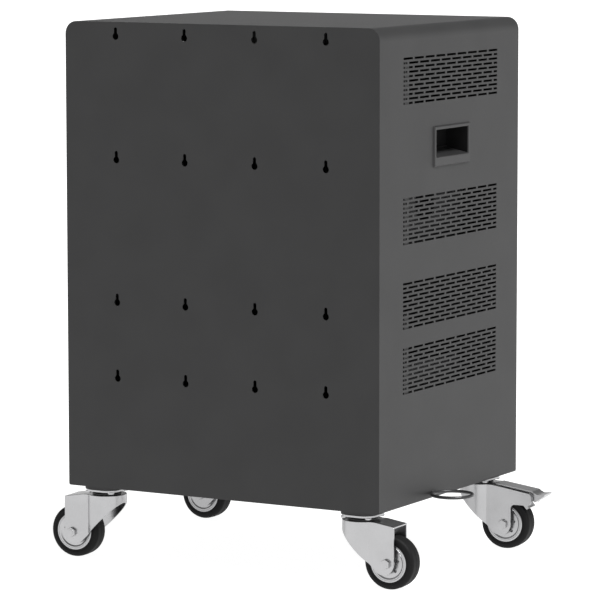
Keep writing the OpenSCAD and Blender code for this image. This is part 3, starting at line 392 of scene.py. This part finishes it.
def dress(piece, finishName, body, nodes, angle=35):
    # last step of every piece: finish, shading, body and what it stands for
    smooth(piece, angle)
    piece.data.materials.clear()
    piece.data.materials.append(finishes[finishName])
    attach(piece, body)
    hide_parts(*nodes)
    return piece


def paintWhere(piece, finishName, test):
    piece.data.materials.append(finishes[finishName])
    index = len(piece.data.materials) - 1
    for polygon in piece.data.polygons:
        if test(polygon.center):
            polygon.material_index = index


def camelCase(node):
    words = node.split("_")
    return words[0] + "".join(word.capitalize() for word in words[1:])


# casters: made once round a swivel axis at the origin with the wheel trailing along +X
joints = {joint["name"]: joint for joint in frame["joints"]}
corners = {}
for name in ("back_left", "back_right", "front_left", "front_right"):
    spin = joints["spin_" + name]
    swivelSpot = Vector(joints["swivel_" + name]["pos_m"])
    spinSpot = Vector(spin["pos_m"])
    corners[name] = Matrix.Translation((swivelSpot.x, swivelSpot.y, 0)) @ Matrix.Rotation(
        math.atan2(-spin["axis"][0], spin["axis"][1]), 4, "Z")
trail = (spinSpot - swivelSpot).xy.length
wheelSpot = Vector((trail, 0, spinSpot.z))

# sizes in millimetres from here on; a groove is its start, end, slope and depth
tyre = {"radius": 40, "half": 14.5, "shoulder": 5.6, "seat": 28.7, "seatEase": (0.5, 0.4),
        "groove": (30.4, 32.2, 0.4, 0.45), "sideEnd": 33.2, "parting": 0.25, "partingWidth": 0.5}


def makeTyre():
    r, half, s = tyre["radius"] - tyre["parting"], tyre["half"], tyre["shoulder"]
    easeOut, easeUp = tyre["seatEase"]
    seat = [(tyre["seat"], -half + easeUp), (tyre["seat"] + easeOut, -half)]
    crown = arcPoints((r - s, -half + s), s, -90, 0, 7)
    parting = [(r, -tyre["partingWidth"]), (r + tyre["parting"], -tyre["partingWidth"] / 2)]
    side = grooveIn(-half, *tyre["groove"]) + [(tyre["sideEnd"], -half)]
    return spinProfile("tyreMaster", mirrored(seat + side + crown + parting), wheelSpot, "Y", 96)


hub = {"bore": 4.05, "bossHalf": 18, "bossGroove": (5.6, 7.7, 0.3, 0.8), "bossFlat": 8.5, "bossRadius": 9,
       "bossEase": 0.5, "bossDraft": 0.1, "bossFoot": (0.8, 0.9), "discHalf": 15, "dish": 1.2, "dishRadius": 23,
       "dishBend": ((-1.2, 0), (-0.4, -0.2)), "rimBend": ((0.9, 0.15), (1.6, 0)),
       "rimGroove": (25.6, 26.8, 0.3, 0.45), "rimEnd": 28, "rimEase": 0.4, "edge": 28.7,
       "holeRadius": 2.6, "holeRing": 15.5, "holes": 6, "holeTurn": 15, "holeFrom": 7, "holeTo": 15.5}


def makeHub():
    h = hub
    rim, face, boss = -h["discHalf"], h["dish"] - h["discHalf"], -h["bossHalf"]
    footUp, footOut = h["bossFoot"]
    lower = [(h["bore"], boss), *grooveIn(boss, *h["bossGroove"]), (h["bossFlat"], boss),
             (h["bossRadius"], boss + h["bossEase"]), (h["bossRadius"] + h["bossDraft"], face - footUp),
             (h["bossRadius"] + footOut, face)]
    lower += [(h["dishRadius"] + out, face + up) for out, up in h["dishBend"]]
    lower += [(h["dishRadius"] + out, rim + up) for out, up in h["rimBend"]]
    lower += [*grooveIn(rim, *h["rimGroove"]), (h["rimEnd"], rim), (h["edge"], rim + h["rimEase"])]
    piece = spinProfile("hubMaster", mirrored(lower), wheelSpot, "Y", 72)
    for side in (-1, 1):
        for i in range(h["holes"]):
            angle = math.radians(360 / h["holes"] * i + h["holeTurn"])
            spot = wheelSpot + mm(h["holeRing"]) * Vector((math.cos(angle), 0, math.sin(angle)))
            low, high = sorted((side * mm(h["holeFrom"]), side * mm(h["holeTo"])))
            cutWith(piece, addCylinder("drill", mm(h["holeRadius"]), low, high, spot, "Y", 20))
    return piece


bolt = {"across": 13, "seat": 22, "washer": 1.2, "washerRadius": 7.4, "head": 3.6, "nut": 3.2, "end": 26.8,
        "shaft": 4, "washerEase": 0.2, "hexEase": 0.6, "shaftEase": 0.5}


def makeAxle():
    b = bolt
    corner = b["across"] / math.sqrt(3)
    top = b["seat"] + b["washer"]
    lengths = [("washer", b["washerRadius"], -top, -b["seat"], 48, b["washerEase"]),
               ("washer", b["washerRadius"], b["seat"], top, 48, b["washerEase"]),
               ("head", corner, -top - b["head"], -top, 6, b["hexEase"]),
               ("nut", corner, top, top + b["nut"], 6, b["hexEase"]),
               ("shaft", b["shaft"], -b["seat"], b["end"], 32, b["shaftEase"])]
    parts = []
    for name, radius, low, high, sides, ease in lengths:
        part = addCylinder(name, mm(radius), mm(low), mm(high), wheelSpot, "Y", sides)
        roundEdges(part, ease, 2)
        parts.append(part)
    return joinPieces("axleMaster", parts)


fork = {"ease": 0.5, "smoothAngle": 50, "darkAbove": -14.45}


def masterFrom(node, name, corner):
    # the skin of a piece at one corner, carried back to where the casters are made
    piece = skinNode(node, name, fork["ease"])
    piece.data.transform(corners[corner].inverted())
    return piece


wheelMasters = [("tyre", makeTyre(), "tyreRubber", "tyre_rubber", "wheel_"),
                ("hub", makeHub(), "zincPlate", "hub_metal", "wheel_"),
                ("axle", makeAxle(), "zincPlate", "zinc_steel", "caster_")]
forkMasters = {"back": masterFrom("fork_back_left", "forkPlain", "back_left"),
               "front": masterFrom("fork_front_left", "forkBraked", "front_left")}
pedalMaster = masterFrom("brake_pedal_left", "pedalMaster", "front_left")
for name, place in corners.items():
    for kind, master, finishName, slotName, body in wheelMasters:
        node = kind + "_" + name
        dress(copyTo(master, camelCase(node), place), finishName, body + name, [node])
    piece = copyTo(forkMasters[name.split("_")[0]], camelCase("fork_" + name), place)
    dress(piece, "zincPlate", "caster_" + name, ["fork_" + name], fork["smoothAngle"])
    paintWhere(piece, "raceSteel", lambda spot: spot.z > mm(fork["darkAbove"]))
for side in ("left", "right"):
    node = "brake_pedal_" + side
    pedal = copyTo(pedalMaster, camelCase(node), corners["front_" + side])
    dress(pedal, "zincPlate", "pedal_" + side, [node])
discard(pedalMaster, *forkMasters.values(), *[entry[1] for entry in wheelMasters])
print("casters")

# sheet metal and fittings of the frame: how wide their sharp edges are rounded, and in how many steps
slotOf = {part["node"]: part["material_slot"] for part in frame["record"]["subparts"]}
bodyOf = {node: body for body, nodes in frame["record"]["behaviour"]["bodies"].items() for node in nodes}
eased = {
    "back_panel": (0.3, 2), "base_pan": (0.3, 1), "front_frame": (0.4, 2), "shelf_lower": (0.4, 2),
    "shelf_upper": (0.4, 2), "dividers_lower": (0.5, 2), "dividers_upper": (0.5, 2),
    "rear_panel_lower": (0.4, 1), "rear_panel_upper": (0.4, 1),
    "wiring_duct": (0.8, 2), "power_box": (0.4, 1), "rocker_frame": (0.4, 2),
    "rocker": (0.5, 3), "breaker_body": (0.4, 2), "reset_button": (0.6, 3), "ring_nut": (0.3, 2),
    "hinge_pins": (0.4, 2), "door_seals": (0.8, 2), "door_left": (0.9, 3), "door_right": (0.9, 3),
    "lock_rose": (0.9, 3), "lock_case": (0.8, 2), "lock_handle": (2.2, 4), "lock_cylinder": (0.4, 2),
    "lock_cam": (0.4, 2), "rod_upper": (1.2, 3), "rod_lower": (1.2, 3), "kingpins": (0.8, 2),
}
undissolved = ("door_left", "door_right")  # their punched faces break up when joined
for node, (width, segments) in eased.items():
    dissolve = 0 if node in undissolved else 0.5
    piece = skinNode(node, camelCase(node), width, segments, dissolve)
    dress(piece, slotFinish[slotOf[node]], bodyOf[node], [node])
print("sheet metal and fittings")

# handle pockets with their bezels: the rim of the mouth is well rounded, and the pocket's walls, back and roof
# above its floor are painted darker as shade
pocket = {"mouthHalf": 51.2, "mouthLow": 10, "near": 0.1, "rimEase": 1.8, "ease": 0.6, "shadeFrom": 4.5,
          "floorTop": 24.5}
cupLow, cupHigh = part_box("handle_cup_right")


def onMouthRim(a, b, edge):
    onFace = min(abs(a.x), abs(b.x)) > cupHigh[0] - mm(pocket["near"])
    between = max(abs(a.y), abs(b.y)) < mm(pocket["mouthHalf"])
    return onFace and between and min(a.z, b.z) > cupLow[2] + mm(pocket["mouthLow"])


# where shade is painted in the pocket: its walls, back and roof above the floor, deeper than the mouth's rim
def inPocketShade(spot):
    return abs(spot.x) < cupHigh[0] - mm(pocket["shadeFrom"]) and spot.z > cupLow[2] + mm(pocket["floorTop"])


for side in ("left", "right"):
    node = "handle_cup_" + side
    cup = copyNode(node, camelCase(node))
    roundEdges(cup, pocket["rimEase"], 4, onMouthRim)
    roundEdges(cup, pocket["ease"], 3)
    dress(cup, "pocketMoulding", "cabinet", [node])
    # paints shade on the pocket's walls, back and roof above its floor
    paintWhere(cup, "pocketPaintedShade", inPocketShade)
print("handle pockets")

# ring on the left side: a round bar bent into a ring, on a welded shank with a collar
ring = {"bar": 2.5, "barSides": 16, "shank": 2.46, "shankEase": 0.4, "collar": 4.2, "collarLow": 0.9,
        "collarHigh": 2.5, "collarEase": 0.5}


def makeRing():
    low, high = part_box("cable_ring")
    bar = ring["bar"]
    radius = (high[1] - low[1]) * 1000 / 2 - bar
    centre = Vector((low[0] + mm(radius + bar), (low[1] + high[1]) / 2, (low[2] + high[2]) / 2))
    section = arcPoints((radius, 0), bar, 0, 360 - 360 / ring["barSides"], ring["barSides"] - 1)
    hoop = spinProfile("ringBar", section, centre, "Z", 96)
    start = centre.x + mm(radius)
    level = (0, centre.y, centre.z)
    shank = addCylinder("shank", mm(ring["shank"]), start, high[0], level, "X", 32)
    roundEdges(shank, ring["shankEase"], 2)
    collar = addCylinder("collar", mm(ring["collar"]), start + mm(ring["collarLow"]),
                         start + mm(ring["collarHigh"]), level, "X", 32)
    roundEdges(collar, ring["collarEase"], 3)
    return joinPieces("cableRing", [hoop, shank, collar])


dress(makeRing(), "ringSteel", "cabinet", ["cable_ring"])
print("ring")

# power strips: the outlets are a smoother moulding than their housing
strip = {"ease": 0.5, "outletFace": 0.4, "endCap": 9}
for level in ("lower", "upper"):
    node = "power_strip_" + level
    stripLow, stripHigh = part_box(node)
    piece = skinNode(node, camelCase(node), strip["ease"])
    dress(piece, "blackMoulding", "cabinet", [node])
    face, end = stripLow[1] + mm(strip["outletFace"]), stripHigh[0] - mm(strip["endCap"])
    paintWhere(piece, "outletMoulding", lambda spot: spot.y < face and abs(spot.x) < end)
print("power strips")

# inlet with its plated pins
inlet = {"ease": 0.3, "pinPitch": 7, "pinHalfThick": 1.05, "pinHalfWide": 5.2, "pinFrom": 1.9, "pinTo": 4}
inletLow, inletHigh = (Vector(corner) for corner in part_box("inlet_socket"))
inletMiddle = (inletLow + inletHigh) / 2


def onPin(spot):
    off = spot - inletMiddle
    across = min(abs(off.y - mm(turn * inlet["pinPitch"])) for turn in (-1, 0, 1))
    along = inletLow.x + mm(inlet["pinFrom"]) < spot.x < inletHigh.x - mm(inlet["pinTo"])
    return along and across < mm(inlet["pinHalfThick"]) and abs(off.z) < mm(inlet["pinHalfWide"])


piece = skinNode("inlet_socket", "inletSocket", inlet["ease"])
dress(piece, "blackMoulding", "cabinet", ["inlet_socket"])
paintWhere(piece, "zincPlate", onPin)
print("inlet")

# welded pads and pressed plates above the casters, with the upper race under each plate
pad = {"half": 27, "round": 12, "low": -5.8, "high": 0}
plate = {"half": 28, "round": 19, "low": -9, "high": -5.9}
plateEase = 0.5
race = {"inner": 6.2, "outer": 22, "waist": 20.6, "foot": 21.8, "ease": (0.6, 0.5),
        "places": (-10.1, -10.7, -11.3, -11.9), "low": -12, "darkBelow": -9.05}


def roundedPlate(name, size):
    half, low, high = size["half"], size["low"], size["high"]
    piece = addBlock(name, (-mm(half), -mm(half), mm(low)), (mm(half), mm(half), mm(high)))
    roundEdges(piece, size["round"], 8, lambda a, b, edge: abs(a.z - b.z) > mm(plateEase))
    roundEdges(piece, plateEase, 2)
    return piece


def makeRace():
    r = race
    easeOut, easeDown = r["ease"]
    neck, waistTop, waistLow, foot = r["places"]
    top = plate["low"]
    profile = [(r["inner"], top), (r["outer"] - easeOut, top), (r["outer"], top - easeDown), (r["outer"], neck),
               (r["waist"], waistTop), (r["waist"], waistLow), (r["foot"], foot), (r["inner"], r["low"])]
    return spinProfile("race", profile, (0, 0, 0), "Z", 64)


padMaster = roundedPlate("padMaster", pad)
plateMaster = joinPieces("plateMaster", [roundedPlate("plate", plate), makeRace()])
swivels = [Matrix.Translation(place.to_translation()) for place in corners.values()]
pads = joinPieces("casterPads", [copyTo(padMaster, "pad", swivel) for swivel in swivels])
plates = joinPieces("casterPlates", [copyTo(plateMaster, "plate", swivel) for swivel in swivels])
discard(padMaster, plateMaster)
dress(pads, "powderCoat", "cabinet", ["caster_pads"])
dress(plates, "zincPlate", "cabinet", ["caster_plates"])
paintWhere(plates, "raceSteel", lambda spot: spot.z < mm(race["darkBelow"]))
print("pads and plates")

# screws that hold the caster plates: round heads with a six-sided socket
plateScrew = {"head": 5, "headHigh": 2.6, "headEase": 0.6, "shank": 3, "socket": 2.3, "socketDeep": 1.6,
              "overrun": 1, "near": 0.1, "pitch": 20}


def makePlateScrew(low, high):
    c = plateScrew
    seat = low + mm(c["headHigh"])
    head = addCylinder("screwHead", mm(c["head"]), low, seat, sides=40)
    roundEdges(head, c["headEase"], 3, lambda a, b, edge: max(a.z, b.z) < low + mm(c["near"]))
    socket = addCylinder("socket", mm(c["socket"]), low - mm(c["overrun"]), low + mm(c["socketDeep"]), sides=6)
    cutWith(head, socket)
    shank = addCylinder("screwShank", mm(c["shank"]), seat, high, sides=24)
    return joinPieces("plateScrewMaster", [head, shank])


screwLow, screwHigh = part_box("plate_screws")
screwMaster = makePlateScrew(screwLow[2], screwHigh[2])
pitch = mm(plateScrew["pitch"])
screws = [copyTo(screwMaster, "plateScrew", swivel @ Matrix.Translation((x * pitch, y * pitch, 0)))
          for swivel in swivels for x in (-1, 1) for y in (-1, 1)]
discard(screwMaster)
dress(joinPieces("plateScrews", screws), "zincPlate", "cabinet", ["plate_screws"])
print("plate screws")
